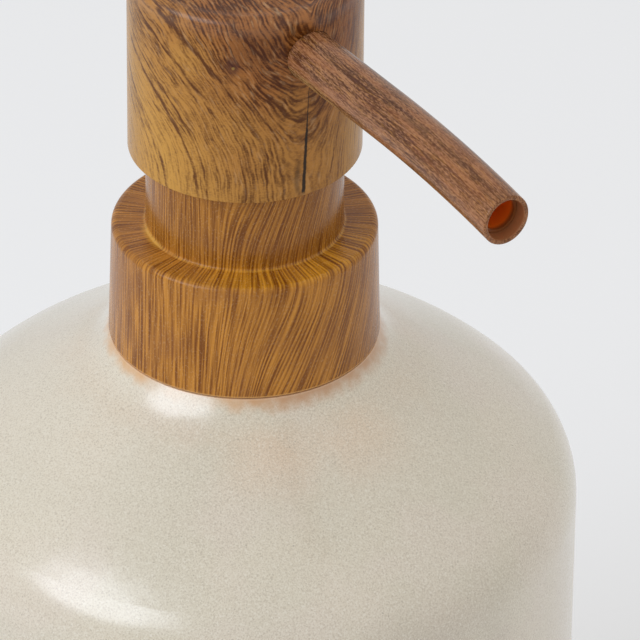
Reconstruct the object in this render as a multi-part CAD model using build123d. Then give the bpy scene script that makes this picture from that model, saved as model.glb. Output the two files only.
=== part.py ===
from build123d import *
import os
from math import asin, cos, degrees, pi, radians, sin, sqrt, tan

# Soap pump dispenser: glazed bottle, screwed-on pump with a wood-look collar, head and spout.
# Millimetres, +Z up, origin on the table under the bottle's axis, spout along +X.

# Bottle
bottle_radius = 43.75
bottle_height = 106.1  # table to the flat land under the collar
bottle_wall = 4.5
bottle_floor = 5.0
shoulder_slope = 32.3  # slopes are degrees below the horizontal
shoulder_bend_slope = 45.4
shoulder_bend_radius = 41.6
shoulder_edge_radius = 10.7
flare_slope = 60.0
flare_radius = 11.7
land_inset = 0.1  # the collar overhangs the land by this much
mouth_depth = 9.0
foot_edge_radius = 4.0
foot_ring_width = 5.0
foot_recess_depth = 1.5

# Pump cylinder and what runs in it
cylinder_bore = 6.3
housing_wall = 1.3
housing_flange_width = 4.7
housing_flange_thickness = 1.2
vent_radius = 0.6
vent_drop = 9.0
piston_height = 6.6
piston_lip_height = 1.6
piston_waist_depth = 0.6
piston_lip_bore_height = 2.0
piston_well_depth = 0.5
rod_radius = 2.44
rod_bore = 1.3
rod_flange_thickness = 1.2
rod_lap = 8.0  # length of the rod inside the stem
rod_nose_length = 2.0
port_radius = 0.8
port_rise = 1.6
lost_motion = 0.8  # the stem pushes the piston after this much travel, which opens the ports
stem_radius = 4.0
stroke = 10.4

# Return spring
spring_radius = 4.25  # to the middle of the wire
spring_wire = 0.9
spring_length = 22.2
spring_turns = 7.5
spring_end_pitch = 1.5

# Inlet valve and dip tube
ball_radius = 2.4
ball_lift = 1.2
ball_side_gap = 0.5
seat_gap = 0.05
inlet_radius = 1.5
inlet_web = 1.2
cage_thickness = 1.6
cage_hole = 1.6
cage_slot_width = 1.2
cage_slot_reach = 2.7
cage_slots = 4
tube_radius = 3.0
tube_wall = 0.8
tube_socket_length = 9.0
tube_floor_gap = 4.0
tube_cut = 4.0  # height of the slanted cut at the tube's foot

# Stem guide
chaplet_plug_length = 6.7
chaplet_flange_thickness = 1.0
chaplet_flange_lip = 0.3
tower_wall = 1.9
tower_gap = 1.7

# Neck, thread and seal
neck_height = 11.6
neck_gap = 2.6
insert_wall = 2.3
insert_flange_thickness = 1.0
insert_flange_inset = 0.4
spigot_wall = 1.4
spigot_gap = 0.5
bond_thickness = 0.4
bond_length = 7.0
gasket_thickness = 1.0
gasket_inset = 0.1
thread_pitch = 25.4 / 6
thread_turns = 1.1
thread_depth = 1.1
thread_root_width = 1.7
thread_crest_width = 1.0
thread_bury = 0.3
rim_lead = 1.2

# Closure and collar
closure_wall = 1.75
closure_disc = 1.2
closure_lift = 0.5
collar_wall = 1.95
collar_taper = 0.45
collar_roof = 1.4
collar_seat_gap = 0.15
collar_top_round = 0.85
collar_foot_round = 0.3
boss_gap = 3.03
boss_wall = 1.8
boss_lap = 3.85  # length of the boss inside the head at rest
boss_roof = 1.5
boss_root_round = 0.4
boss_top_round = 0.5

# Head and spout
press_margin = 1.05
head_gap = 0.42
head_wall = 1.85
head_roof = 2.2
head_top_round = 1.4
head_foot_round = 0.2
ceiling_gap = 0.95
core_plate = 1.4
core_floor = 1.8
core_cover = 0.8
core_post_wall = 2.5
core_web = 1.2
socket_length = 6.0
socket_wall = 1.9
spout_radius = 3.3
spout_wall = 0.65
spout_reach = 57.6  # to the tip, which is cut plumb
spout_straight = 32.0
spout_bend_radius = 172.0
spout_root = 8.0
spout_rim_round = 0.25
liner_wall = 0.4
liner_recess = 1.6

# Clearances
press_gap = 0.05  # radial, between pieces pushed together for good
run_gap = 0.06  # radial, between pieces that slide or turn
thread_gap = 0.25  # radial, at the crests of the thread
bond_gap = 0.02
stop_gap = 0.1  # between the piston and the guide that stops it
swing_gap = 0.4  # radial, where one piece passes another freely

# Radii that follow, from the pump cylinder outwards
housing_radius = cylinder_bore + housing_wall
insert_bore = housing_radius + neck_gap
neck_radius = insert_bore + insert_wall
thread_crest = neck_radius + thread_depth
closure_bore = thread_crest + thread_gap
closure_radius = closure_bore + closure_wall
collar_bore = closure_radius + press_gap
collar_radius = collar_bore + collar_wall
collar_top_radius = collar_radius - collar_taper
land_radius = collar_radius - land_inset
spigot_radius = insert_bore + spigot_wall
mouth_radius = spigot_radius + bond_thickness
insert_flange_radius = closure_radius - insert_flange_inset
housing_flange_radius = housing_radius + housing_flange_width
stem_bore = rod_radius + press_gap
chaplet_flange_radius = housing_radius + chaplet_flange_lip
closure_hole = chaplet_flange_radius + swing_gap
guide_bore = stem_radius + run_gap
tower_radius = guide_bore + tower_wall
boss_bore = chaplet_flange_radius + boss_gap
boss_radius = boss_bore + boss_wall
socket_bore = stem_radius + press_gap
socket_radius = socket_bore + socket_wall
boss_hole = socket_radius + swing_gap
head_bore = boss_radius + head_gap
head_radius = head_bore + head_wall
core_radius = head_bore - press_gap
liner_radius = spout_radius - spout_wall - press_gap
liner_bore = liner_radius - liner_wall
spring_outer = spring_radius + spring_wire / 2
spring_inner = spring_radius - spring_wire / 2
rod_flange_radius = spring_outer + swing_gap
tube_socket_bore = tube_radius + press_gap
ball_chamber = ball_radius + ball_side_gap

# Heights that follow, from the bottle's land upwards
rim_z = bottle_height + neck_height
gasket_top = rim_z + gasket_thickness
flange_top = gasket_top + housing_flange_thickness
closure_top = flange_top + closure_disc
collar_top = closure_top + collar_roof
collar_foot = bottle_height + collar_seat_gap
closure_foot = bottle_height + insert_flange_thickness + closure_lift
thread_start = rim_z - rim_lead - thread_root_width / 2 - thread_turns * thread_pitch
head_foot = collar_top + stroke + press_margin
boss_top = head_foot + boss_lap
core_foot = head_foot + boss_lap + stroke + ceiling_gap
spout_z = core_foot + core_floor + spout_radius
core_top = spout_z + spout_radius + core_cover
head_top = core_top + head_roof
socket_foot = core_foot - socket_length
stem_top = spout_z - liner_bore - core_web
tower_top = socket_foot - stroke - tower_gap

# Heights that follow, from the stem guide downwards
plug_foot = flange_top - chaplet_plug_length
piston_top = plug_foot - stop_gap
piston_foot = piston_top - piston_height
stem_foot = piston_top + lost_motion
rod_flange_foot = piston_foot - rod_flange_thickness
cage_top = rod_flange_foot - spring_length
cylinder_floor = cage_top - cage_thickness
ball_z = cylinder_floor - ball_lift - ball_radius
seat_z = ball_z - (ball_radius + seat_gap) * sqrt(2) + inlet_radius
socket_ceiling = seat_z - inlet_web
tube_socket_foot = socket_ceiling - tube_socket_length
cavity_floor = foot_recess_depth + bottle_floor
tube_foot = cavity_floor + tube_floor_gap


def turned(outline, rounds=()):
    """Solid of revolution from (radius, height) corners; rounds are (corner, radius) pairs."""
    face = make_face(Polyline(*outline, close=True))
    for corner, radius in rounds:
        face = fillet(face.vertices().sort_by_distance((*corner, 0))[0], radius)
    return revolve(Plane.XZ * face, Axis.Z)


def ring(outer, inner, low, high):
    """Tube between two heights."""
    return turned([(inner, low), (outer, low), (outer, high), (inner, high)])


def disc(radius, low, high):
    """Upright cylinder between two heights."""
    return Pos(0, 0, low) * Cylinder(radius, high - low, align=(Align.CENTER, Align.CENTER, Align.MIN))


def bar(radius, start, end, height):
    """Cylinder along +X at a height."""
    turn = Pos(start, 0, height) * Rot(0, 90, 0)
    return turn * Cylinder(radius, end - start, align=(Align.CENTER, Align.CENTER, Align.MIN))


def shoulder_rise(inset):
    """Height from the top of the straight wall to the cone's end at the land."""
    bend, slope = radians(shoulder_bend_slope), radians(shoulder_slope)
    edge = (shoulder_edge_radius - inset) * cos(bend)
    return edge + (shoulder_bend_radius - inset) * (cos(slope) - cos(bend))


def shoulder_run(inset):
    """Inward run of the two arcs between the straight wall and the cone."""
    bend, slope = radians(shoulder_bend_slope), radians(shoulder_slope)
    edge = (shoulder_edge_radius - inset) * (1 - sin(bend))
    return edge + (shoulder_bend_radius - inset) * (sin(bend) - sin(slope))


flare_run = flare_radius * (sin(radians(flare_slope)) - sin(radians(shoulder_slope)))
flare_rise = flare_radius * (cos(radians(shoulder_slope)) - cos(radians(flare_slope)))
cone_run = bottle_radius - land_radius - flare_run - shoulder_run(0)
cone_rise = cone_run * tan(radians(shoulder_slope))
wall_top = bottle_height - flare_rise - cone_rise - shoulder_rise(0)


def shoulder_arcs(inset):
    """The two arcs from the wall's top to the cone, set inwards by an amount."""
    start = (bottle_radius - inset, wall_top)
    edge = JernArc(start, (0, 1), shoulder_edge_radius - inset, 90 - shoulder_bend_slope)
    bend_turn = shoulder_bend_slope - shoulder_slope
    bend = JernArc(edge @ 1, edge % 1, shoulder_bend_radius - inset, bend_turn)
    return edge, bend


def bottle_outside():
    """Solid outer form: foot, wall, shoulder and flare up to the land."""
    edge, bend = shoulder_arcs(0)
    cone_end = bend @ 1 + Vector(-cone_run, cone_rise)
    cone = Line(bend @ 1, cone_end)
    flare = JernArc(cone_end, cone % 1, flare_radius, shoulder_slope - flare_slope)
    foot_radius = bottle_radius - foot_edge_radius
    foot = JernArc((foot_radius, 0), (1, 0), foot_edge_radius, 90)
    wall = Line(foot @ 1, edge @ 0)
    land = Polyline(flare @ 1, (0, (flare @ 1).Y), (0, 0), (foot_radius, 0))
    face = make_face([foot, wall, edge, bend, cone, flare, *land.edges()])
    return revolve(Plane.XZ * face, Axis.Z)


def bottle_cavity():
    """The hollow: wall and shoulder at an even thickness, cut off below the thick neck."""
    edge, bend = shoulder_arcs(bottle_wall)
    apex_rise = (bend @ 1).X * tan(radians(shoulder_slope))
    apex = bend @ 1 + Vector(-(bend @ 1).X, apex_rise)
    rest = Polyline(bend @ 1, apex, (0, cavity_floor), (bottle_radius - bottle_wall, cavity_floor), edge @ 0)
    face = make_face([edge, bend, *rest.edges()])
    hollow = revolve(Plane.XZ * face, Axis.Z)
    return hollow & disc(bottle_radius, cavity_floor, bottle_height - mouth_depth)


def make_bottle():
    recess_radius = bottle_radius - foot_edge_radius - foot_ring_width
    body = bottle_outside() - bottle_cavity()
    body -= disc(mouth_radius, bottle_height - mouth_depth - bottle_wall, bottle_height)
    return body - disc(recess_radius, 0, foot_recess_depth)


def thread_ridge(root, crest, start):
    """One helical ridge of the thread, from inside its wall to its crest."""
    bury = thread_bury if crest < root else -thread_bury
    half_root, half_crest = thread_root_width / 2, thread_crest_width / 2
    corners = [(root + bury, start - half_root), (root, start - half_root), (crest, start - half_crest)]
    corners += [(crest, start + half_crest), (root, start + half_root), (root + bury, start + half_root)]
    section = Plane.XZ * make_face(Polyline(*corners, close=True))
    path = Helix(thread_pitch, thread_turns * thread_pitch, root, center=(0, 0, start))
    return sweep(section, path, is_frenet=True)


def make_neck_insert():
    spigot_foot = bottle_height - mouth_depth + spigot_gap
    body = ring(spigot_radius, insert_bore, spigot_foot, bottle_height)
    body += ring(neck_radius, insert_bore, bottle_height, rim_z)
    flange_top_z = bottle_height + insert_flange_thickness
    body += ring(insert_flange_radius, insert_bore, bottle_height, flange_top_z)
    return body + thread_ridge(neck_radius, thread_crest, thread_start)


def make_insert_bond():
    return ring(mouth_radius - bond_gap, spigot_radius + bond_gap, bottle_height - bond_length, bottle_height)


def make_closure():
    body = ring(closure_radius, closure_bore, closure_foot, closure_top)
    body += ring(closure_radius, closure_hole, flange_top, closure_top)
    return body + thread_ridge(closure_bore, neck_radius + thread_gap, thread_start - thread_pitch / 2)


def make_collar():
    shell = [(collar_bore, collar_foot), (collar_radius, collar_foot), (collar_top_radius, collar_top)]
    shell += [(boss_radius, collar_top), (boss_radius, boss_top), (boss_hole, boss_top)]
    shell += [(boss_hole, boss_top - boss_roof), (boss_bore, boss_top - boss_roof)]
    shell += [(boss_bore, closure_top), (collar_bore, closure_top)]
    rounds = [((collar_radius, collar_foot), collar_foot_round), ((collar_top_radius, collar_top), collar_top_round)]
    rounds += [((boss_radius, collar_top), boss_root_round), ((boss_radius, boss_top), boss_top_round)]
    return turned(shell, rounds)


def make_gasket():
    return ring(housing_flange_radius - gasket_inset, insert_bore, rim_z, gasket_top)


def make_housing():
    step_foot = cylinder_floor - housing_wall
    chamber_radius = ball_chamber + housing_wall
    socket_outer = tube_socket_bore + housing_wall
    body = disc(housing_radius, step_foot, flange_top) + disc(housing_flange_radius, gasket_top, flange_top)
    body += disc(chamber_radius, socket_ceiling, step_foot) + disc(socket_outer, tube_socket_foot, socket_ceiling)
    body -= disc(cylinder_bore, cylinder_floor, flange_top)
    seat_top = seat_z + ball_chamber - inlet_radius
    well = [(0, socket_ceiling), (inlet_radius, socket_ceiling), (inlet_radius, seat_z)]
    well += [(ball_chamber, seat_top), (ball_chamber, cylinder_floor), (0, cylinder_floor)]
    body -= turned(well)
    body -= disc(tube_socket_bore, tube_socket_foot, socket_ceiling)
    return body - bar(vent_radius, 0, housing_flange_radius, flange_top - vent_drop)


def make_chaplet():
    plug_radius = cylinder_bore - press_gap
    flange_z = flange_top + chaplet_flange_thickness
    body = disc(plug_radius, plug_foot, flange_top) + disc(chaplet_flange_radius, flange_top, flange_z)
    body += disc(tower_radius, flange_top, tower_top)
    return body - disc(guide_bore, plug_foot, tower_top)


def make_ball_cage():
    body = ring(cylinder_bore - press_gap, cage_hole, cylinder_floor, cage_top)
    slot = Pos(0, 0, cylinder_floor) * Box(
        cage_slot_reach, cage_slot_width, cage_thickness, align=(Align.MIN, Align.CENTER, Align.MIN)
    )
    for number in range(cage_slots):
        body -= Rot(0, 0, number * 360 / cage_slots) * slot
    return body


def make_check_ball():
    return Pos(0, 0, ball_z) * Sphere(ball_radius)


def spring_height(turn):
    """Height of the wire's middle after some turns: close turns at both ends, open between."""
    rise = spring_length - spring_wire - 2 * seat_gap
    open_pitch = (rise - 2 * spring_end_pitch) / (spring_turns - 2)
    ends = min(turn, 1) + max(turn - (spring_turns - 1), 0)
    middle = min(max(turn - 1, 0), spring_turns - 2)
    return cage_top + seat_gap + spring_wire / 2 + ends * spring_end_pitch + middle * open_pitch


def spring_point(turn):
    angle = 2 * pi * turn
    return Vector(spring_radius * cos(angle), spring_radius * sin(angle), spring_height(turn))


def spring_tangent(turn, step=0.125):
    """Direction of the wire, with the change of pitch eased over a quarter turn."""
    angle = 2 * pi * turn
    before, after = max(turn - step, 0), min(turn + step, spring_turns)
    climb = (spring_height(after) - spring_height(before)) / (2 * pi * (after - before))
    return Vector(-spring_radius * sin(angle), spring_radius * cos(angle), climb).normalized()


def biarc(start, start_way, end, end_way):
    """Two arcs that join two points smoothly, with given directions at both."""
    chord, ways = end - start, start_way + end_way
    a = 2 * (1 - start_way.dot(end_way))
    b = 2 * chord.dot(ways)
    reach = (sqrt(b * b + 4 * a * chord.dot(chord)) - b) / (2 * a)
    first_corner, second_corner = start + start_way * reach, end - end_way * reach
    joint = (first_corner + second_corner) * 0.5
    return [
        TangentArc(start, joint, tangent=start_way),
        TangentArc(joint, end, tangent=second_corner - first_corner),
    ]


def least_gap(path, samples=600):
    """Least gap between the wire's surface and itself, measured on points half a turn or more apart."""
    points = [path @ (number / samples) for number in range(samples + 1)]
    apart = int(samples / spring_turns / 2)
    pairs = ((p, q) for i, p in enumerate(points) for q in points[i + apart:])
    return min((p - q).length for p, q in pairs) - spring_wire


def make_spring():
    quarters = round(spring_turns * 4)
    arcs = []
    for number in range(quarters):
        t0, t1 = number * spring_turns / quarters, (number + 1) * spring_turns / quarters
        arcs += biarc(spring_point(t0), spring_tangent(t0), spring_point(t1), spring_tangent(t1))
    path = Wire(arcs)
    section = Plane(origin=path @ 0, z_dir=path % 0) * Circle(spring_wire / 2)
    coil = sweep(section, path)
    section_volume = pi * spring_wire**2 / 4 * path.length
    print(f"spring least gap {least_gap(path):.3f}, volume {coil.volume:.2f} of {section_volume:.2f}")
    return coil


def make_dip_tube():
    tube_top = socket_ceiling - stop_gap
    body = ring(tube_radius, tube_radius - tube_wall, tube_foot, tube_top)
    wedge = make_face(
        Polyline(
            (-tube_radius, tube_foot), (tube_radius, tube_foot), (tube_radius, tube_foot + tube_cut), close=True
        )
    )
    return body - extrude(Plane.XZ * wedge, tube_radius, both=True)


def make_piston():
    outer, well = cylinder_bore - run_gap, rod_radius + run_gap + piston_well_depth
    waist, lip_bore = outer - piston_waist_depth, rod_radius + run_gap
    low_lip, high_lip = piston_foot + piston_lip_height, piston_top - piston_lip_height
    bore_step = piston_top - piston_lip_bore_height
    outline = [(well, piston_foot), (outer, piston_foot), (outer, low_lip), (waist, low_lip + piston_waist_depth)]
    outline += [(waist, high_lip - piston_waist_depth), (outer, high_lip), (outer, piston_top)]
    outline += [(lip_bore, piston_top), (lip_bore, bore_step), (well, bore_step)]
    return turned(outline)


def make_piston_rod():
    rod_top = stem_foot + rod_lap
    body = disc(rod_flange_radius, rod_flange_foot, piston_foot) + disc(rod_radius, piston_foot, rod_top)
    body += disc(spring_inner - swing_gap, rod_flange_foot - rod_nose_length, rod_flange_foot)
    port_z = piston_foot + port_rise
    body -= disc(rod_bore, port_z - port_radius, rod_top)
    return body - bar(port_radius, -rod_radius * 2, rod_radius * 2, port_z)


def make_stem():
    return ring(stem_radius, stem_bore, stem_foot, stem_top)


def make_head_core():
    post_radius = socket_bore + core_post_wall
    body = disc(core_radius, core_foot, core_foot + core_plate) + disc(core_radius, core_top - core_plate, core_top)
    body += disc(post_radius, core_foot, core_top) + disc(socket_radius, socket_foot, core_foot)
    sleeve = bar(spout_radius + press_gap + core_cover, 0, core_radius, spout_z)
    body += sleeve & disc(core_radius, core_foot, core_top)
    body -= disc(socket_bore, socket_foot, stem_top) + disc(stem_bore, stem_top, spout_z)
    return body - bar(liner_bore, 0, spout_root, spout_z) - bar(spout_radius + press_gap, spout_root, core_radius, spout_z)


def make_head_shell():
    outline = [(head_bore, head_foot), (head_radius, head_foot), (head_radius, head_top), (0, head_top)]
    outline += [(0, core_top), (head_bore, core_top)]
    rounds = [((head_radius, head_foot), head_foot_round), ((head_radius, head_top), head_top_round)]
    return turned(outline, rounds) - bar(spout_radius + press_gap, 0, head_radius, spout_z)


def spout_tube(outer, inner, reach):
    """Tube straight out of the head, then bent gently down, with its end cut plumb at a reach."""
    past_cut = reach + spout_radius - spout_straight
    straight = Line((spout_root, spout_z), (spout_straight, spout_z))
    arc = JernArc(straight @ 1, (1, 0), spout_bend_radius, -degrees(asin(past_cut / spout_bend_radius)))
    path = Plane.XZ * Wire([straight, arc])
    section = Plane(origin=path @ 0, z_dir=path % 0)
    tube = sweep(section * Circle(outer), path) - sweep(section * Circle(inner), path)
    return split(tube, Plane.YZ.offset(reach), keep=Keep.BOTTOM)


def make_spout():
    tube = spout_tube(spout_radius, spout_radius - spout_wall, spout_reach)
    return fillet(tube.faces().sort_by(Axis.X)[-1].edges(), spout_rim_round)


def make_spout_liner():
    return spout_tube(liner_radius, liner_bore, spout_reach - liner_recess)


parts = {
    "bottle": make_bottle,
    "neck_insert": make_neck_insert,
    "insert_bond": make_insert_bond,
    "closure": make_closure,
    "collar": make_collar,
    "gasket": make_gasket,
    "housing": make_housing,
    "chaplet": make_chaplet,
    "ball_cage": make_ball_cage,
    "check_ball": make_check_ball,
    "spring": make_spring,
    "dip_tube": make_dip_tube,
    "piston": make_piston,
    "piston_rod": make_piston_rod,
    "stem": make_stem,
    "head_core": make_head_core,
    "head_shell": make_head_shell,
    "spout": make_spout,
    "spout_liner": make_spout_liner,
}

os.makedirs("parts", exist_ok=True)
for name, make in parts.items():
    export_step(make(), f"parts/{name}.step")
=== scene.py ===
from math import cos, pi, radians, sin, tan
import bpy
from mathutils import Matrix, Vector


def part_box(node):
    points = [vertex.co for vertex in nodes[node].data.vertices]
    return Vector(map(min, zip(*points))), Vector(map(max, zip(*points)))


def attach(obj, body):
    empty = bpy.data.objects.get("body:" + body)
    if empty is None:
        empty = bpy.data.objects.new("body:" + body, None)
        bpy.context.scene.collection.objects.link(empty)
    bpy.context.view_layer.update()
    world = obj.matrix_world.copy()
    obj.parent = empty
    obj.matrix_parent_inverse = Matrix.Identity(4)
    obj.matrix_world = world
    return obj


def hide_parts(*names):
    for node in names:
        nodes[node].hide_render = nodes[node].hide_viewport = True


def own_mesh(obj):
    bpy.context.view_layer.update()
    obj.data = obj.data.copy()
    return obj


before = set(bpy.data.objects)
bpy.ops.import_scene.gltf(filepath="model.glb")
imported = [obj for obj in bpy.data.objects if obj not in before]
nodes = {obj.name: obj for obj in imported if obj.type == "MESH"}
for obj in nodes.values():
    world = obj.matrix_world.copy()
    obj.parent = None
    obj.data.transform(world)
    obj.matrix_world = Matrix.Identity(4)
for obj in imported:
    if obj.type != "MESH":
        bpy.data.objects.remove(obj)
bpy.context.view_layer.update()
scene = bpy.context.scene

# Millimetres in a metre
METRE = 1000


def lowest(node, axis):
    """Lowest place of a node along x, y or z, in millimetres."""
    return round(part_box(node)[0]["xyz".index(axis)] * METRE, 3)


def highest(node, axis):
    """Highest place of a node along x, y or z, in millimetres."""
    return round(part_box(node)[1]["xyz".index(axis)] * METRE, 3)


# Camera of the photograph, found by fitting the outlines: degrees, radians of roll, metres and pixels
VIEW_AZIMUTH = 56.75
VIEW_ELEVATION = 32.0227
VIEW_ROLL = 0.00351
VIEW_DISTANCE = 0.918014
VIEW_FOCAL = 7147.44
VIEW_TARGET = Vector((0, 0, 0.1225))
VIEW_PIXEL = (244.722, 217.871)
IMAGE = 640
SENSOR = 36

# Angle about the upright axis of the side that faces the camera
FRONT = radians(VIEW_AZIMUTH - 90)

# Floor and light
FLOOR_REACH = 6.0
FLOOR_COLOUR = (0.78, 0.78, 0.78, 1)
FLOOR_GLOW = (0.5, 0.5, 0.505, 1)
FLOOR_GLOW_SEEN = 0.40
SKY_LIGHTING = 0.58
SKY_SEEN = 0.785
LIGHT_TARGET = Vector((0, 0, 0.10))
KEY_COLOUR = (0.92, 0.98, 1.08)

# Colours are linear, places in millimetres; a pair runs from where a change begins to where it is complete

# Glaze
GLAZE_CREAM = (0.725, 0.645, 0.500)
GLAZE_COOL = (0.690, 0.625, 0.485)
GLAZE_WARM = (0.740, 0.632, 0.520)
GLAZE_PAINTED_LIGHT = (0.850, 0.775, 0.630)
GLAZE_PAINTED_SHADE = (0.520, 0.450, 0.345)
GLAZE_THIN = (0.720, 0.520, 0.330)
GLAZE_PEACH = (0.760, 0.585, 0.410)
MOTTLE_DARK = (0.43, 0.36, 0.27)
MOTTLE_LIGHT = (0.84, 0.79, 0.68)
COLLAR_REFLECTION_LEFT = (0.740, 0.420, 0.180)
COLLAR_REFLECTION_SHADED_RIGHT = (0.520, 0.270, 0.115)
SEAT_PAINTED_LIGHT = (0.820, 0.600, 0.400)
POINT_DARK = (0.24, 0.19, 0.14)
CLAY_DARK = (0.50, 0.41, 0.30)
CLAY_LIGHT = (0.66, 0.57, 0.45)
BARE_HEIGHT = (0.9, 0.5)
PAINTED_SHADE_HEIGHT = (92.0, 76.0)
PAINTED_LIGHT_HEIGHT = (80.0, 104.0)
THIN_HEIGHT = (80.0, 95.0)
PEACH_HEIGHT = (96.0, 101.0)
NECK_HEIGHT = (100.0, 103.0)
THIN_RADIUS = (33.0, 21.0)
PAST_REFLECTION_RADIUS = (18.8, 21.5)
REFLECTION_EDGE = 19.35
REFLECTION_EDGE_RIGHT = 0.45
REFLECTION_FULL = 17.9
SEAT_RADIUS = (17.65, 17.40)

# Collar; the film's own path runs up the side, in over the top and up the boss
COLLAR_DARK = (0.200, 0.060, 0.005)
COLLAR_LIGHT = (0.600, 0.252, 0.036)
COLLAR_GOLD = (0.760, 0.345, 0.026)
COLLAR_CLOUD = (0.26, 0.095, 0.028)
COLLAR_PAINTED_SHADE = (0.08, 0.02, 0.004)
COLLAR_FLECK = (0.70, 0.45, 0.22)
BOSS_PAINTED_SHADE = (0.05, 0.015, 0.003)
CREASE_FILM_AND_HIGHLIGHT = (0.75, 0.40, 0.06)
FOOT_PAINTED_LIGHT = (0.85, 0.47, 0.16)
FOOT_END_PAINTED_LIGHT = (1.0, 0.70, 0.40)
BASE_PLASTIC = (0.36, 0.15, 0.045)
COLLAR_LINES = 176.0
COLLAR_TOP = 122.5
COLLAR_FOOT = lowest("collar", "z")
COLLAR_HOLLOW = (16.1, 15.9)
COLLAR_CEILING = (121.6, 121.3)
BOSS_RADIUS = 12.73
SIDE_LEAN_PATH = 103.5
TOP_LEAN_PATH = 111.5
LEAN_BLEND = 6.0
GOLD_PATH = (104.6, 106.0)
GOLD_END_PATH = (112.0, 109.0)
BOSS_PATH = (109.6, 111.0)
CREASE_PATH = COLLAR_TOP - BOSS_RADIUS - 0.2
FOOT_PAINTED_LIGHT_HEIGHT = (COLLAR_FOOT + 0.40, COLLAR_FOOT + 0.15)
FOOT_END_PAINTED_LIGHT_HEIGHT = (COLLAR_FOOT + 0.16, COLLAR_FOOT + 0.04)

# Head
HEAD_GOLD = (0.600, 0.305, 0.062)
HEAD_BROWN = (0.375, 0.140, 0.034)
HEAD_LINE = (0.158, 0.058, 0.012)
HEAD_DARK = (0.084, 0.021, 0.003)
HEAD_PALE = (0.66, 0.40, 0.20)
HEAD_PAINTED_SHADE_RIGHT = (0.100, 0.018, 0.006)
HEAD_LEFT = (0.120, 0.050, 0.001)
HEAD_ROOT = (0.050, 0.012, 0.006)
KNOT = (0.060, 0.016, 0.014)
KNOT_EYE = (0.62, 0.40, 0.09)
CRACK = (0.016, 0.011, 0.008)
SMEAR = (0.060, 0.030, 0.012)
HEAD_RADIUS = highest("head_shell", "x")
HEAD_MIDDLE = 147.0
HEAD_ROOF = (158.0, 159.0)
ROOF_TURN_RIM = (15.0, 6.0)
HEAD_HOLLOW = (13.6, 13.4)
HEAD_CEILING = (158.5, 158.4)
WORN_RADIUS = (12.4, 14.2)
WORN_HEIGHT = (157.4, 159.2)
POINTS_HEIGHT = (150.0, 155.0)
KNOT_HEIGHT = 153.9
EYE_HEIGHT = 153.7
CRACK_TOP = 150.4
CRACK_WIDENS_DEPTH = (5.0, 8.0)
CRACK_END_DEPTH = (16.3, 15.7)
SMEAR_DEPTH = (9.5, 13.0)
SMEAR_END_DEPTH = (16.4, 15.2)
LOW_RIGHT_HEIGHT = (149.0, 140.0)
TOP_SHADE_HEIGHT = (156.0, 160.0)
GOLD_LEVEL = 161.0
BROWN_LEVEL = 178.0
LINE_FADE = 1.5

# Main dark lines of the head's grain: level, strength, and the lowest and highest place where they show
MAIN_LINES = (
    (156.6, 0.60, 134, 150),
    (158.2, 0.70, 134, 160),
    (159.4, 0.90, 134, 160),
    (164.2, 0.75, 134, 160),
    (165.7, 0.50, 134, 160),
    (167.5, 0.55, 138, 146),
    (169.4, 0.45, 146, 158),
    (170.4, 0.70, 146, 157),
    (171.0, 0.60, 134, 142),
    (173.5, 0.45, 136, 143),
    (174.0, 0.95, 144, 161),
    (177.0, 0.65, 150, 161),
    (177.9, 0.55, 143, 151),
    (180.9, 0.60, 151, 161),
)

# Patches of the head: degrees right of the front, height, half width, half height, and how much darker
HEAD_PATCHES = (
    (7, 157, 4.0, 4.0, 0.35),
    (25, 148, 4.0, 4.5, -0.30),
    (-2, 145, 4.0, 4.0, -0.18),
    (-28, 154, 3.5, 3.0, -0.22),
)

# Spout and its liner; a side of the tube is the y and height of a direction from its axis
SPOUT_DARK = (0.088, 0.027, 0.009)
SPOUT_LIGHT = (0.410, 0.194, 0.090)
SPOUT_GOLD = (0.470, 0.215, 0.050)
SPOUT_GREY = (0.150, 0.072, 0.070)
SPOUT_RED = (0.33, 0.105, 0.035)
SPOUT_TIP = (0.45, 0.17, 0.05)
SPOUT_RIDGE = (0.075, 0.030, 0.014)
SPOUT_PAINTED_HIGHLIGHT = (0.58, 0.36, 0.12)
SPOUT_BASE = (0.36, 0.135, 0.050)
LINER_LOW = (0.86, 0.165, 0.010)
LINER_HIGH = (0.94, 0.185, 0.012)
LINER_DEEP = (0.24, 0.075, 0.018)
SPOUT_RADIUS = 3.3
SPOUT_Z = highest("spout", "z") - SPOUT_RADIUS
SPOUT_BORE = (2.75, 2.68)
SPOUT_STRAIGHT = 32.0
SPOUT_BEND = 172.0
TWIST_END = 30.0
TIP_REACH = (38.0, 52.0)
RIDGE_REACH = (17.0, 26.0)
RIDGE_SIDE = (-0.365, 0.931)
HIGHLIGHT_REACH = (33.0, 18.0)
HIGHLIGHT_SIDE = (-0.752, -0.660)
LINER_END = highest("spout_liner", "x")
LINER_DEEP_REACH = (LINER_END + 0.1, LINER_END - 0.6)


class Value:
    """A number in a shader graph, so that formulas read like arithmetic."""

    def __init__(self, graph, socket):
        self.graph = graph
        self.socket = socket

    def __add__(self, other):
        return self.graph.math("ADD", self, other)

    def __radd__(self, other):
        return self.graph.math("ADD", other, self)

    def __sub__(self, other):
        return self.graph.math("SUBTRACT", self, other)

    def __rsub__(self, other):
        return self.graph.math("SUBTRACT", other, self)

    def __mul__(self, other):
        return self.graph.math("MULTIPLY", self, other)

    def __truediv__(self, other):
        return self.graph.math("DIVIDE", self, other)


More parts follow.
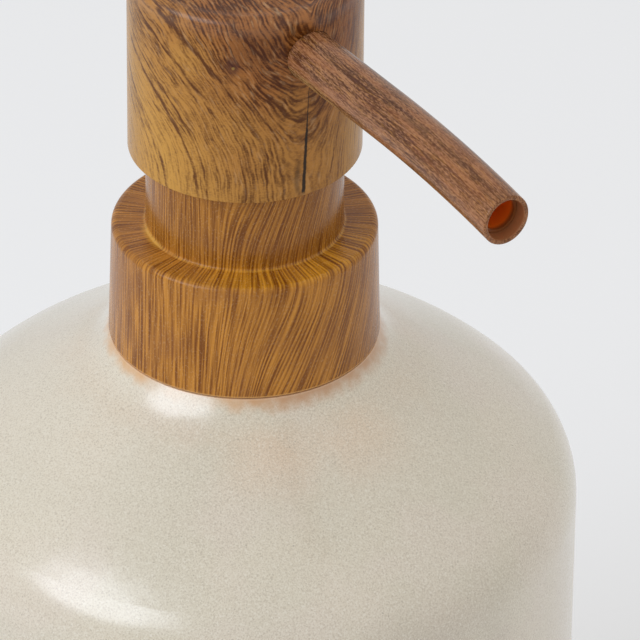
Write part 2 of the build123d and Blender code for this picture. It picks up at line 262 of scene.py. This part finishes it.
class Graph:
    """One material: a Principled shader and the nodes that feed it."""

    def __init__(self, name, ior=1.5, metallic=0.0):
        self.material = bpy.data.materials.new(name)
        self.material.use_nodes = True
        self.tree = self.material.node_tree
        self.tree.nodes.clear()
        self.shader = self.node("ShaderNodeBsdfPrincipled")
        output = self.node("ShaderNodeOutputMaterial")
        self.tree.links.new(self.shader.outputs["BSDF"], output.inputs["Surface"])
        self.set("IOR", ior)
        self.set("Metallic", metallic)
        place = self.node("ShaderNodeTexCoord").outputs["Object"]
        split = self.node("ShaderNodeSeparateXYZ")
        self.tree.links.new(place, split.inputs[0])
        self.x, self.y, self.z = (Value(self, out) * METRE for out in split.outputs)
        self.place = self.vector(self.x, self.y, self.z)

    def node(self, kind, **settings):
        made = self.tree.nodes.new(kind)
        for name, value in settings.items():
            setattr(made, name, value)
        return made

    def put(self, socket, value):
        """Link a value to a socket, or set a constant on it."""
        if isinstance(value, Value):
            self.tree.links.new(value.socket, socket)
        elif isinstance(value, tuple) and len(value) == 3 and socket.type == "RGBA":
            socket.default_value = (*value, 1)
        else:
            socket.default_value = value

    def set(self, name, value):
        self.put(self.shader.inputs[name], value)

    def math(self, operation, a, b=0.0, c=0.0):
        made = self.node("ShaderNodeMath", operation=operation)
        for socket, value in zip(made.inputs, (a, b, c)):
            self.put(socket, value)
        return Value(self, made.outputs[0])

    def vector(self, x, y, z):
        made = self.node("ShaderNodeCombineXYZ")
        for socket, value in zip(made.inputs, (x, y, z)):
            self.put(socket, value)
        return Value(self, made.outputs[0])

    def sin(self, value):
        return self.math("SINE", value)

    def cos(self, value):
        return self.math("COSINE", value)

    def abs(self, value):
        return self.math("ABSOLUTE", value)

    def min(self, a, b):
        return self.math("MINIMUM", a, b)

    def max(self, a, b):
        return self.math("MAXIMUM", a, b)

    def hypot(self, a, b):
        return self.math("SQRT", a * a + b * b)

    def radius(self):
        """Distance from the upright axis."""
        return self.hypot(self.x, self.y)

    def angle(self):
        """Angle about the upright axis."""
        return self.math("ARCTAN2", self.y, self.x)

    def towards(self, degrees):
        """Cosine of the angle from the side that lies so many degrees right of the front."""
        return self.cos(self.angle() - (FRONT + radians(degrees)))

    def right_of(self, degrees):
        """Sine of the same angle: 1 a quarter turn to the right of that side, -1 to the left of it."""
        return self.sin(self.angle() - (FRONT + radians(degrees)))

    def noise(self, place, scale, detail, roughness=0.5, w=None, distortion=0.0):
        made = self.node("ShaderNodeTexNoise", noise_dimensions="3D" if w is None else "4D")
        self.put(made.inputs["Vector"], place)
        if w is not None:
            self.put(made.inputs["W"], w)
        self.put(made.inputs["Scale"], scale)
        self.put(made.inputs["Detail"], detail)
        self.put(made.inputs["Roughness"], roughness)
        self.put(made.inputs["Distortion"], distortion)
        return Value(self, made.outputs[0])

    def cloud(self, scale, detail=1.0, **more):
        """Noise alike in all directions; the scale is per millimetre."""
        return self.noise(self.place, scale, detail, **more)

    def streaks(self, x, y, z, detail=1.0, **more):
        """Noise at a stretched place."""
        return self.noise(self.vector(x, y, z), 1.0, detail, **more)

    def cells(self, scale):
        """Distance to the nearest of many scattered points."""
        made = self.node("ShaderNodeTexVoronoi", feature="F1")
        self.put(made.inputs["Vector"], self.place)
        self.put(made.inputs["Scale"], scale)
        return Value(self, made.outputs["Distance"])

    def step(self, value, low, high):
        """Smooth change from 0 to 1 as value goes from low to high."""
        made = self.node("ShaderNodeMapRange", interpolation_type="SMOOTHSTEP")
        for socket, number in zip(made.inputs, (value, low, high)):
            self.put(socket, number)
        return Value(self, made.outputs[0])

    def mix(self, share, a, b):
        """Colour a where share is 0, colour b where it is 1."""
        made = self.node("ShaderNodeMix", data_type="RGBA")
        self.put(made.inputs[0], share)
        self.put(made.inputs[6], a)
        self.put(made.inputs[7], b)
        return Value(self, made.outputs[2])

    def bump(self, height, millimetres):
        made = self.node("ShaderNodeBump")
        made.inputs["Strength"].default_value = 1.0
        made.inputs["Distance"].default_value = millimetres / METRE
        self.put(made.inputs["Height"], height)
        self.tree.links.new(made.outputs[0], self.shader.inputs["Normal"])


def glaze():
    """Cream glaze, warmer where it runs thin at the neck, with a fine mottle, a few dark points, and
    painted light, painted shade and a painted reflection of the collar.
    """
    g = Graph("glazed_stoneware", ior=1.68)
    radius = g.radius()
    patches = g.step(g.cloud(0.055, 1.5), 0.36, 0.64)
    warm = g.step(g.cloud(0.085, 2.0, w=7.0), 0.42, 0.66)
    colour = g.mix(patches, GLAZE_CREAM, GLAZE_COOL)
    colour = g.mix(warm * 0.50, colour, GLAZE_WARM)
    # Painted light: whiter high on the left, where the light falls from the left
    painted_light_left = g.step(g.towards(-85), 0.25, 0.95) * g.step(g.z, *PAINTED_LIGHT_HEIGHT)
    colour = g.mix(painted_light_left * 0.60, colour, GLAZE_PAINTED_LIGHT)
    # Painted shade: greyer low on the right
    painted_shade_right = g.towards(38) + (g.cloud(0.06, 2.0) - 0.5) * 0.9
    painted_shade_right = g.step(painted_shade_right, 0.80, 1.05) * g.step(g.z, *PAINTED_SHADE_HEIGHT)
    colour = g.mix(painted_shade_right * 0.58, colour, GLAZE_PAINTED_SHADE)
    # Warm where it is thin about the neck, with a peach patch right of the front
    thin = g.step(radius + g.cloud(0.16, 2.0) * 12.0, *THIN_RADIUS) * g.step(g.z, *THIN_HEIGHT)
    past_collar_reflection = g.step(radius, *PAST_REFLECTION_RADIUS) * 0.75 + 0.25
    colour = g.mix(thin * past_collar_reflection * 0.30, colour, GLAZE_THIN)
    peach = g.step(g.towards(24), 0.80, 0.97) * g.step(g.z, *PEACH_HEIGHT)
    peach = peach * g.step(g.cloud(0.12, 2.0), 0.15, 0.55) * past_collar_reflection
    colour = g.mix(peach * 0.60, colour, GLAZE_PEACH)
    mottle = g.cloud(4.6, 1.5, roughness=0.6, distortion=0.6)
    colour = g.mix(g.step(mottle, 0.46, 0.74) * 0.52, colour, MOTTLE_DARK)
    colour = g.mix(g.step(mottle, 0.52, 0.26) * 0.60, colour, MOTTLE_LIGHT)
    # Painted reflection of the collar along its foot, with painted shade in it on the right, weaker where
    # the highlight falls, and painted light under the foot
    neck = g.step(g.z, *NECK_HEIGHT)
    to_right = g.step(g.right_of(0), -0.45, 0.45)
    spread = radius + g.cloud(0.6) * 1.4
    collar_reflection = g.step(spread, to_right * REFLECTION_EDGE_RIGHT + REFLECTION_EDGE, REFLECTION_FULL) * neck
    lit = g.step(g.towards(-27), 0.93, 0.985)
    colour = g.mix(collar_reflection * (1.0 - lit * 0.72), colour, g.mix(to_right, COLLAR_REFLECTION_LEFT, COLLAR_REFLECTION_SHADED_RIGHT))
    # Painted light under the collar's foot, lifting its contact shadow
    colour = g.mix(g.step(radius, *SEAT_RADIUS) * neck * 0.60, colour, SEAT_PAINTED_LIGHT)
    points = g.step(g.cells(1.1), 0.15, 0.07) * g.step(g.cloud(0.9, 0.0, w=3.0), 0.54, 0.66)
    colour = g.mix(points * 0.40, colour, POINT_DARK)
    # Bare clay under the foot ring
    bare = g.step(g.z, *BARE_HEIGHT)
    grit = g.cloud(5.0, 3.0, roughness=0.7)
    colour = g.mix(bare, colour, g.mix(grit, CLAY_DARK, CLAY_LIGHT))
    g.set("Base Color", colour)
    g.set("Coat Weight", 0.50)
    g.set("Coat Roughness", 0.21)
    g.set("Roughness", g.cloud(0.35, 2.0) * 0.06 + 0.20 + bare * 0.5)
    g.bump(g.cloud(0.22) + mottle * 0.02 + bare * grit * 0.1, 0.10)
    return g.material


def film_finish(g, colour, fleck, inside, base=BASE_PLASTIC, dull=0.0, gloss=0.24):
    """Satin film outside, plain moulded plastic where inside is 1, less glossy where dull is 1."""
    g.set("Base Color", g.mix(inside, colour, base))
    g.set("Specular IOR Level", gloss)
    g.set("Roughness", fleck * 0.10 + 0.21 + inside * 0.15 + dull * 0.11)
    g.bump(fleck, 0.006)
    return g.material


def collar_film():
    """Fine upright grain that follows the film up the side, over the top and up the boss."""
    g = Graph("wood_look_collar")
    radius = g.radius()
    along = g.z - radius
    # The grain is upright left of the front and leans to the right of it
    leaning = g.step(g.right_of(-5), -0.36, 0.36)
    side_lean = g.math("SMOOTH_MIN", along - SIDE_LEAN_PATH, 0.0, LEAN_BLEND) * 0.026
    top_lean = g.math("SMOOTH_MAX", along - TOP_LEAN_PATH, 0.0, LEAN_BLEND) * 0.028
    turn = g.angle() - leaning * (side_lean + top_lean)
    ring_x, ring_y = g.cos(turn), g.sin(turn)

    def grain(across, down, detail=1.0):
        return g.streaks(ring_x * across, ring_y * across, along * down, detail)

    wave = g.sin(turn * COLLAR_LINES + grain(4.0, 0.03, 2.0) * 14.0 + grain(15.0, 0.06) * 9.0)
    light = wave * grain(9.0, 0.06) * 0.40 + (grain(60.0, 0.15, 2.0) - 0.5) * 2.2
    light = g.step(light + (grain(20.0, 0.08) - 0.5) * 0.9 + 0.5, -0.08, 1.04)
    gold = g.step(along, *GOLD_PATH) * g.step(along, *GOLD_END_PATH)
    gold = gold * g.step(g.right_of(-60), 0.3, 0.95)
    colour = g.mix(light, COLLAR_DARK, g.mix(gold * 0.8, COLLAR_LIGHT, COLLAR_GOLD))
    colour = g.mix(g.step(g.cloud(0.13, 2.0), 0.46, 0.70) * 0.35, colour, COLLAR_CLOUD)
    # Painted shade on the boss, under the head
    colour = g.mix(g.step(along, *BOSS_PATH) * 0.16, colour, BOSS_PAINTED_SHADE)
    # Painted shade on the collar's right side, away from the light
    colour = g.mix(g.step(g.right_of(0), 0.45, 0.95) * 0.22, colour, COLLAR_PAINTED_SHADE)
    # The film is thin and yellow in the crease at the boss's root, with a painted highlight there that is
    # brightest at the left, where the light falls
    from_crease = g.abs(along - CREASE_PATH)
    highlight_at_left = g.step(g.towards(-69), 0.96, 0.995)
    crease_and_highlight = g.step(from_crease, 0.30, 0.05) * (g.step(grain(8.0, 0.07), 0.35, 0.65) * 0.30 + 0.05)
    crease_and_highlight = crease_and_highlight + g.step(from_crease, 0.9, 0.1) * highlight_at_left * 0.65
    colour = g.mix(g.min(crease_and_highlight, 0.9), colour, CREASE_FILM_AND_HIGHLIGHT)
    fleck = grain(70.0, 3.0)
    colour = g.mix(g.step(fleck, 0.52, 0.75) * 0.16, colour, COLLAR_FLECK)
    # Painted light on the foot's edge, palest at its end, lifting the shade under the foot
    colour = g.mix(g.step(g.z, *FOOT_PAINTED_LIGHT_HEIGHT) * 0.8, colour, FOOT_PAINTED_LIGHT)
    colour = g.mix(g.step(g.z, *FOOT_END_PAINTED_LIGHT_HEIGHT) * 0.9, colour, FOOT_END_PAINTED_LIGHT)
    inside = g.step(radius, *COLLAR_HOLLOW) * g.step(g.z, *COLLAR_CEILING)
    return film_finish(g, colour, fleck, inside)


def head_levels(g, radius, c1, s1):
    """Level of the grain through each place, for the main lines and for the finer lines between them."""
    c2 = c1 * c1 - s1 * s1
    s2 = c1 * s1 * 2.0
    # Waves about the axis bend the lines into an arch, which twists with the height
    up = (g.z - HEAD_MIDDLE) / 10.0
    arch = c1 * 33.9 - s1 * 1.6 - c2 * 6.6 + s2 * 7.5
    twist = c1 * 5.9 + s1 * 1.6 - c2 * 1.1
    level = g.z + arch - up * twist + up * up * c1 * 1.4 - up * up * up * 0.5
    # The lines run on over the rim of the roof before they turn back
    rim = HEAD_RADIUS - radius
    rise = s1 * 1.15 + s1 * s1 * 1.6 + 1.5
    level = level + rim * rise * g.step(rim, *ROOF_TURN_RIM) * g.step(g.z, *HEAD_ROOF)
    main = level + (g.cloud(0.45) - 0.5) * 0.6
    above = g.max(g.z - POINTS_HEIGHT[0], 0.0)
    level = level - above * above * g.step(c1, 0.3, 0.9) * 0.020
    # Above the spout the lines meet in steep points
    point = g.math("EXPONENT", g.hypot((s1 - 0.545) * 17.9, 0.35) / -3.0)
    level = level + point * g.step(g.z, *POINTS_HEIGHT) * g.step(c1, 0.1, 0.5) * 2.9
    level = level + (g.cloud(0.17, 2.0) - 0.5) * 1.6
    return main, level


def head_flaws(g, colour, c1, s1):
    """The knot and the crack in the head's grain."""
    # A small knot left of the spout's root, with a pale eye
    off_front = g.step(c1, 0.5, 0.3) * 9.0
    knot = g.hypot((s1 + 0.105) * HEAD_RADIUS, (g.z - KNOT_HEIGHT) * 0.7)
    knot = knot + (g.cloud(1.2) - 0.5) * 0.9 + off_front
    colour = g.mix(g.step(knot, 1.5, 0.3) * 0.62, colour, KNOT)
    eye = g.hypot((s1 + 0.100) * HEAD_RADIUS, g.z - EYE_HEIGHT) + off_front
    colour = g.mix(g.step(eye, 0.30, 0.08) * 0.40, colour, KNOT_EYE)
    # The dark crack below the spout, wider towards its foot
    depth = CRACK_TOP - g.z
    wander = (g.streaks(0.0, 0.0, g.z * 0.7, 2.0) - 0.5) * 0.35
    from_crack = g.abs(g.y + 0.25 + depth * 0.047 + wander)
    ragged = g.streaks(0.0, 3.0, g.z * 1.1) * 0.9 + 0.5
    width = (depth * 0.008 + 0.035 + g.step(depth, *CRACK_WIDENS_DEPTH) * 0.10) * ragged
    below_spout = g.step(g.x, 1.0, 2.0) * g.step(depth, 0.0, 0.8)
    crack = g.step(from_crack / width, 1.3, 0.7) * below_spout * g.step(depth, *CRACK_END_DEPTH)
    colour = g.mix(crack * 0.95, colour, CRACK)
    # A faint smear left of the crack's foot
    from_smear = g.abs(g.y + 1.85 + g.sin(g.z * 1.3) * 0.15)
    smear = g.step(from_smear, 0.55, 0.10) * g.step(depth, *SMEAR_DEPTH)
    smear = smear * g.step(depth, *SMEAR_END_DEPTH)
    return g.mix(smear * below_spout * 0.55, colour, SMEAR)


def head_film():
    """Grain that falls from the left, dips below the spout and climbs again to the right of it."""
    g = Graph("wood_look_head")
    radius = g.radius()
    # Cosine and sine of the angle from the front, which shrink to nothing across the roof
    c1 = (g.x * cos(FRONT) + g.y * sin(FRONT)) / HEAD_RADIUS
    s1 = (g.y * cos(FRONT) - g.x * sin(FRONT)) / HEAD_RADIUS
    main, level = head_levels(g, radius, c1, s1)

    def near(degrees, height, wide, tall):
        """1 about a place on the front of the side wall, 0 beyond its half width and half height."""
        across = (s1 - sin(radians(degrees))) * (HEAD_RADIUS / wide)
        return g.step(g.hypot(across, (g.z - height) / tall), 1.3, 0.2) * g.step(c1, 0.0, 0.2)

    def drawn(scale, rate, detail=1.0, roughness=0.5):
        """Noise that changes slowly along a line of the grain, and at that rate from line to line."""
        return g.cloud(scale, detail, roughness=roughness, w=level * rate)

    # Golden and open low on the left, darker and closer towards the spout and the roof
    low_right = g.step(s1, -0.15, 0.40) * g.step(g.z, *LOW_RIGHT_HEIGHT)
    shade = (level - GOLD_LEVEL) / (BROWN_LEVEL - GOLD_LEVEL)
    shade = shade + (drawn(0.10, 0.3) - 0.5) * 0.35 - low_right * 0.34
    for degrees, height, wide, tall, change in HEAD_PATCHES:
        shade = shade + near(degrees, height, wide, tall) * change
    shade = shade + g.step(g.z, *TOP_SHADE_HEIGHT) * g.step(s1, -0.6, 0.0) * 0.20
    behind = g.step(c1, 0.15, -0.45) * g.step(drawn(0.05, 0.20), 0.34, 0.66) * 0.70
    shade = g.min(g.max(shade, behind), 1.0)
    # Close lines where the grain is dark, open lines where it is golden
    sway = g.cloud(0.35) * 5.0 + drawn(0.07, 0.3) * 24.0
    beat = g.sin(level * 12.0 + sway) * 0.6 + g.sin(level * 19.4 + sway * 1.3) * 0.4
    close_lines = g.step(beat, -1.0, 1.0) * (g.step(drawn(0.16, 0.9), 0.36, 0.62) * 0.5 + 0.5)
    wide_lines = g.step(g.sin(level * 3.3 + sway * 0.8), 0.60, 0.99)
    wide_lines = wide_lines * g.step(drawn(0.14, 0.4), 0.40, 0.56)
    open_lines = g.step(g.sin(level * 6.1 + sway), 0.5, 0.98)
    open_lines = g.max(open_lines * g.step(drawn(0.08, 0.55), 0.40, 0.60), wide_lines)
    darkness = close_lines * (shade * 0.72 + 0.06) + open_lines * (0.26 - shade * 0.14)
    # Main lines
    marks = 0.0
    for line_level, strength, low_end, high_end in MAIN_LINES:
        from_line = g.abs(main - line_level)
        shown = g.step(g.z, low_end - LINE_FADE, low_end + LINE_FADE)
        shown = shown * g.step(g.z, high_end + LINE_FADE, high_end - LINE_FADE)
        marks = marks + g.step(from_line, strength * 0.55, strength * 0.05) * shown * strength
    kept = g.step(g.cloud(0.22, w=main * 0.5), 0.30, 0.56) * 0.65 + 0.35
    marks = marks * kept * g.step(c1, -0.2, 0.2)
    line = drawn(0.25, 2.2)
    darkness = darkness + marks * (g.step(line, 0.30, 0.62) * 0.45 + 0.55) * (0.95 - shade * 0.20)
    # Fine lines, hair lines and short dashes over all of it
    hair = drawn(0.55, 4.5, 2.0, 0.6)
    hair_depth = shade * 1.45 + 0.75 + g.step(s1, -0.2, -0.8) * 0.7
    dash = g.streaks(c1 * 38.0, s1 * 38.0, g.z * 5.5)
    darkness = darkness + (line - 0.5) * (shade * 0.8 + 0.4)
    darkness = darkness + (hair - 0.5) * hair_depth + (dash - 0.5) * 0.7
    darkness = g.step(darkness + shade * 0.09 + 0.03, -0.10, 0.92)
    ground = g.mix(shade, HEAD_GOLD, HEAD_BROWN)
    colour = g.mix(darkness, ground, g.mix(shade, HEAD_LINE, HEAD_DARK))
    pale = g.cloud(0.5, 2.0, roughness=0.6, w=level * 5.2 + 11.0)
    colour = g.mix(g.step(pale, 0.52, 0.78) * (shade * 0.36 + 0.10), colour, HEAD_PALE)
    # Painted shade on the far right of the head, away from the light
    colour = g.mix(g.step(s1, 0.52, 0.92) * g.step(c1, -0.4, 0.1) * 0.28, colour, HEAD_PAINTED_SHADE_RIGHT)
    colour = g.mix(g.step(s1, -0.82, -0.96) * g.step(c1, -0.2, 0.1) * 0.14, colour, HEAD_LEFT)
    colour = g.mix(near(6, 156.5, 5.0, 3.5) * 0.30, colour, HEAD_ROOT)
    colour = head_flaws(g, colour, c1, s1)
    inside = g.step(radius, *HEAD_HOLLOW) * g.step(g.z, *HEAD_CEILING)
    worn = g.step(radius, *WORN_RADIUS) * g.step(g.z, *WORN_HEIGHT)
    return film_finish(g, colour, dash, inside, dull=worn, gloss=worn * 0.30 + 0.17)


def spout_film():
    """Short close streaks along the tube, which wind a little around it near the head."""
    g = Graph("wood_look_spout")
    past = g.max(g.x - SPOUT_STRAIGHT, 0.0)
    height = g.z - SPOUT_Z + past * past * (0.5 / SPOUT_BEND)
    twist = g.min(g.x - TWIST_END, 0.0) * -0.018
    turned_y = g.y * g.cos(twist) - height * g.sin(twist)
    turned_height = g.y * g.sin(twist) + height * g.cos(twist)

    def grain(along, around, detail=1.0, **more):
        return g.streaks(g.x * along, turned_y * around, turned_height * around, detail, **more)

    def facing(side):
        """1 where the tube's skin looks to that side."""
        return (g.y * side[0] + height * side[1]) / SPOUT_RADIUS

    line = grain(0.26, 4.6, 2.5, roughness=0.65, distortion=0.25)
    slow = g.streaks(g.x * 0.09, g.y * 0.8, height * 0.8)
    hair = grain(1.8, 8.0)
    vein = grain(0.07, 1.5, 1.5)
    light = (line - 0.5) * 3.0 + (hair - 0.5) * 2.4 + (slow - 0.5) * 1.1
    light = light - g.step(vein, 0.48, 0.66) * 0.34 + 0.50
    colour = g.mix(g.step(light, -0.15, 1.1), SPOUT_DARK, SPOUT_LIGHT)
    tinge = grain(0.6, 5.5, 2.0, roughness=0.6, w=2.0)
    colour = g.mix(g.step(tinge, 0.50, 0.72) * 0.50, colour, SPOUT_GOLD)
    colour = g.mix(g.step(tinge, 0.48, 0.26) * 0.40, colour, SPOUT_GREY)
    colour = g.mix(g.step(slow, 0.45, 0.65) * 0.25, colour, SPOUT_RED)
    colour = g.mix(g.step(g.x, *TIP_REACH) * 0.16, colour, SPOUT_TIP)
    # A broken dark line along the top
    ridge = g.step(facing(RIDGE_SIDE), 0.975, 0.997) * g.step(grain(0.45, 0.9), 0.44, 0.58)
    colour = g.mix(ridge * g.step(g.x, *RIDGE_REACH) * 0.45, colour, SPOUT_RIDGE)
    # Painted highlight low on the left near the head, broken by the grain
    pale = g.step(facing(HIGHLIGHT_SIDE), 0.80, 0.97) * g.step(g.x, *HIGHLIGHT_REACH) * g.step(line, 0.38, 0.58)
    colour = g.mix(pale * 0.60, colour, SPOUT_PAINTED_HIGHLIGHT)
    inside = g.step(g.hypot(g.y, height), *SPOUT_BORE)
    return film_finish(g, colour, hair, inside, base=SPOUT_BASE)


def moulded(name, colour, roughness, veil=0.0):
    """Moulded plastic: a slight cloud in the colour, faint flow lines and a fine matt grain."""
    g = Graph(name)
    flow = g.streaks(g.x * 0.3, g.y * 0.3, g.z * 1.6, 2.0)
    darker = tuple(c * 0.90 for c in colour)
    g.set("Base Color", g.mix(g.cloud(0.25, 2.0) * 0.7 + flow * 0.3, darker, colour))
    g.set("Roughness", flow * 0.12 + (roughness - 0.06))
    if veil:
        g.set("Subsurface Weight", veil)
        g.set("Subsurface Radius", (1.0, 1.0, 0.9))
        g.set("Subsurface Scale", 0.0006)
    g.bump(g.cloud(4.0, 2.0), 0.012)
    return g.material


def liner_plastic():
    """Orange plastic, darker brown from just inside the spout's mouth inwards."""
    g = Graph("orange_plastic")
    cloud = g.cloud(0.6, 2.0)
    deep = g.step(g.x + cloud * 0.4, *LINER_DEEP_REACH)
    g.set("Base Color", g.mix(deep, LINER_DEEP, g.mix(cloud, LINER_LOW, LINER_HIGH)))
    g.set("Roughness", cloud * 0.10 + 0.26)
    g.bump(g.cloud(4.0, 2.0), 0.012)
    return g.material


def steel(name, colour, roughness, drawn):
    """Stainless steel with fine marks, drawn along the wire or polished all round."""
    g = Graph(name, metallic=1.0)
    marks = g.streaks(g.x * 2.0, g.y * 2.0, g.z * (0.8 if drawn else 4.0), 3.0, roughness=0.6)
    g.set("Base Color", g.mix(marks, tuple(c * 0.82 for c in colour), colour))
    g.set("Roughness", marks * 0.16 + (roughness - 0.08))
    g.bump(marks, 0.006)
    return g.material


def dress(name, material):
    slots = nodes[name].data.materials
    slots.clear()
    slots.append(material)


white = moulded("white_plastic", (0.80, 0.80, 0.77), 0.42)
natural = moulded("natural_plastic", (0.72, 0.72, 0.67), 0.40, veil=0.25)
dress("bottle", glaze())
dress("collar", collar_film())
dress("head_shell", head_film())
dress("spout", spout_film())
dress("spout_liner", liner_plastic())
for name in ("neck_insert", "closure", "stem", "head_core"):
    dress(name, white)
for name in ("housing", "chaplet", "ball_cage", "piston_rod"):
    dress(name, natural)
dress("piston", moulded("piston_plastic", (0.84, 0.84, 0.82), 0.35, veil=0.2))
dress("dip_tube", moulded("tube_plastic", (0.78, 0.79, 0.78), 0.30, veil=0.3))
dress("insert_bond", moulded("clear_adhesive", (0.72, 0.66, 0.52), 0.25, veil=0.4))
dress("gasket", moulded("seal_rubber", (0.50, 0.50, 0.50), 0.65))
dress("check_ball", steel("ball_steel", (0.75, 0.75, 0.76), 0.14, drawn=False))

# The return spring shortens with the press, so a piece of its own stands for it
coil = bpy.data.objects.new("return_spring", nodes["spring"].data.copy())
scene.collection.objects.link(coil)
coil.data.materials.clear()
coil.data.materials.append(steel("spring_steel", (0.58, 0.58, 0.59), 0.30, drawn=True))
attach(coil, "pump")
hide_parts("spring")
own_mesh(coil)


def seen_share(tree):
    """1 for rays from the camera and from glossy or clear surfaces, 0 for rays that light the object."""
    path = tree.nodes.new("ShaderNodeLightPath")
    share = path.outputs["Is Camera Ray"]
    for kind in ("Is Glossy Ray", "Is Transmission Ray"):
        larger = tree.nodes.new("ShaderNodeMath")
        larger.operation = "MAXIMUM"
        tree.links.new(share, larger.inputs[0])
        tree.links.new(path.outputs[kind], larger.inputs[1])
        share = larger.outputs[0]
    return share


def floor_material():
    """Matt pale floor with a faint glow of its own where it is seen."""
    material = bpy.data.materials.new("pale_floor")
    material.use_nodes = True
    tree = material.node_tree
    tree.nodes.clear()
    matt = tree.nodes.new("ShaderNodeBsdfDiffuse")
    matt.inputs["Color"].default_value = FLOOR_COLOUR
    glow = tree.nodes.new("ShaderNodeEmission")
    glow.inputs["Color"].default_value = FLOOR_GLOW
    strength = tree.nodes.new("ShaderNodeMath")
    strength.operation = "MULTIPLY"
    strength.inputs[1].default_value = FLOOR_GLOW_SEEN
    tree.links.new(seen_share(tree), strength.inputs[0])
    tree.links.new(strength.outputs[0], glow.inputs["Strength"])
    both = tree.nodes.new("ShaderNodeAddShader")
    tree.links.new(matt.outputs[0], both.inputs[0])
    tree.links.new(glow.outputs[0], both.inputs[1])
    output = tree.nodes.new("ShaderNodeOutputMaterial")
    tree.links.new(both.outputs[0], output.inputs["Surface"])
    return material


def surroundings():
    """White all round, dimmer as light than as it is seen."""
    world = bpy.data.worlds.new("studio")
    world.use_nodes = True
    tree = world.node_tree
    tree.nodes.clear()
    sky = tree.nodes.new("ShaderNodeBackground")
    sky.inputs["Color"].default_value = (1, 1, 1, 1)
    strength = tree.nodes.new("ShaderNodeMapRange")
    strength.inputs["To Min"].default_value = SKY_LIGHTING
    strength.inputs["To Max"].default_value = SKY_SEEN
    tree.links.new(seen_share(tree), strength.inputs[0])
    tree.links.new(strength.outputs[0], sky.inputs["Strength"])
    output = tree.nodes.new("ShaderNodeOutputWorld")
    tree.links.new(sky.outputs[0], output.inputs["Surface"])
    return world


def outward(azimuth, elevation):
    """Direction from the object towards a side, given in degrees."""
    a, e = radians(azimuth), radians(elevation)
    return Vector((sin(a) * cos(e), -cos(a) * cos(e), sin(e)))


def panel(name, side, distance, half_width, half_height, radiance, colour=(1, 1, 1)):
    """Soft oval panel on that side; half sizes are angles seen from the object, radiance 1 is white."""
    lamp = bpy.data.lights.new(name, "AREA")
    lamp.shape = "ELLIPSE"
    lamp.size = 2 * distance * tan(radians(half_width))
    lamp.size_y = 2 * distance * tan(radians(half_height))
    lamp.energy = radiance * pi * (pi / 4 * lamp.size * lamp.size_y)
    lamp.color = colour
    made = bpy.data.objects.new(name, lamp)
    made.location = LIGHT_TARGET + side * distance
    made.rotation_euler = side.to_track_quat("Z", "Y").to_euler()
    scene.collection.objects.link(made)
    return made


# Floor
corners = [(-FLOOR_REACH, -FLOOR_REACH, 0), (FLOOR_REACH, -FLOOR_REACH, 0),
           (FLOOR_REACH, FLOOR_REACH, 0), (-FLOOR_REACH, FLOOR_REACH, 0)]
floor_mesh = bpy.data.meshes.new("floor")
floor_mesh.from_pydata(corners, [], [(0, 1, 2, 3)])
floor_mesh.materials.append(floor_material())
floor = bpy.data.objects.new("floor", floor_mesh)
scene.collection.objects.link(floor)

# Light: pale surroundings, a soft key panel to the left and a dimmer fill panel far to the right
scene.world = surroundings()
panel("key_panel", outward(azimuth=VIEW_AZIMUTH - 54, elevation=35), distance=0.9,
      half_width=23, half_height=16, radiance=3.40, colour=KEY_COLOUR)
fill = panel("fill_panel", outward(azimuth=VIEW_AZIMUTH + 105, elevation=28), distance=1.3,
             half_width=30, half_height=24, radiance=0.62)
fill.visible_glossy = False

# Camera
back = outward(VIEW_AZIMUTH, VIEW_ELEVATION)
right = Vector((cos(radians(VIEW_AZIMUTH)), sin(radians(VIEW_AZIMUTH)), 0))
look = Matrix((right, back.cross(right), back))
aim_x = (VIEW_PIXEL[0] - IMAGE / 2) / VIEW_FOCAL
aim_y = (IMAGE / 2 - VIEW_PIXEL[1]) / VIEW_FOCAL
aim = Vector((aim_x, aim_y, -1)).normalized()
swing = Vector((0, 0, -1)).rotation_difference(aim).to_matrix()
turned = swing @ Matrix.Rotation(-VIEW_ROLL, 3, "Z") @ look
lens = bpy.data.cameras.new("camera")
lens.sensor_width = SENSOR
lens.lens = VIEW_FOCAL * SENSOR / IMAGE
camera = bpy.data.objects.new("camera", lens)
stand = Matrix.Translation(VIEW_TARGET + back * VIEW_DISTANCE)
camera.matrix_world = stand @ turned.transposed().to_4x4()
scene.collection.objects.link(camera)
scene.camera = camera
scene.view_settings.view_transform = "Standard"
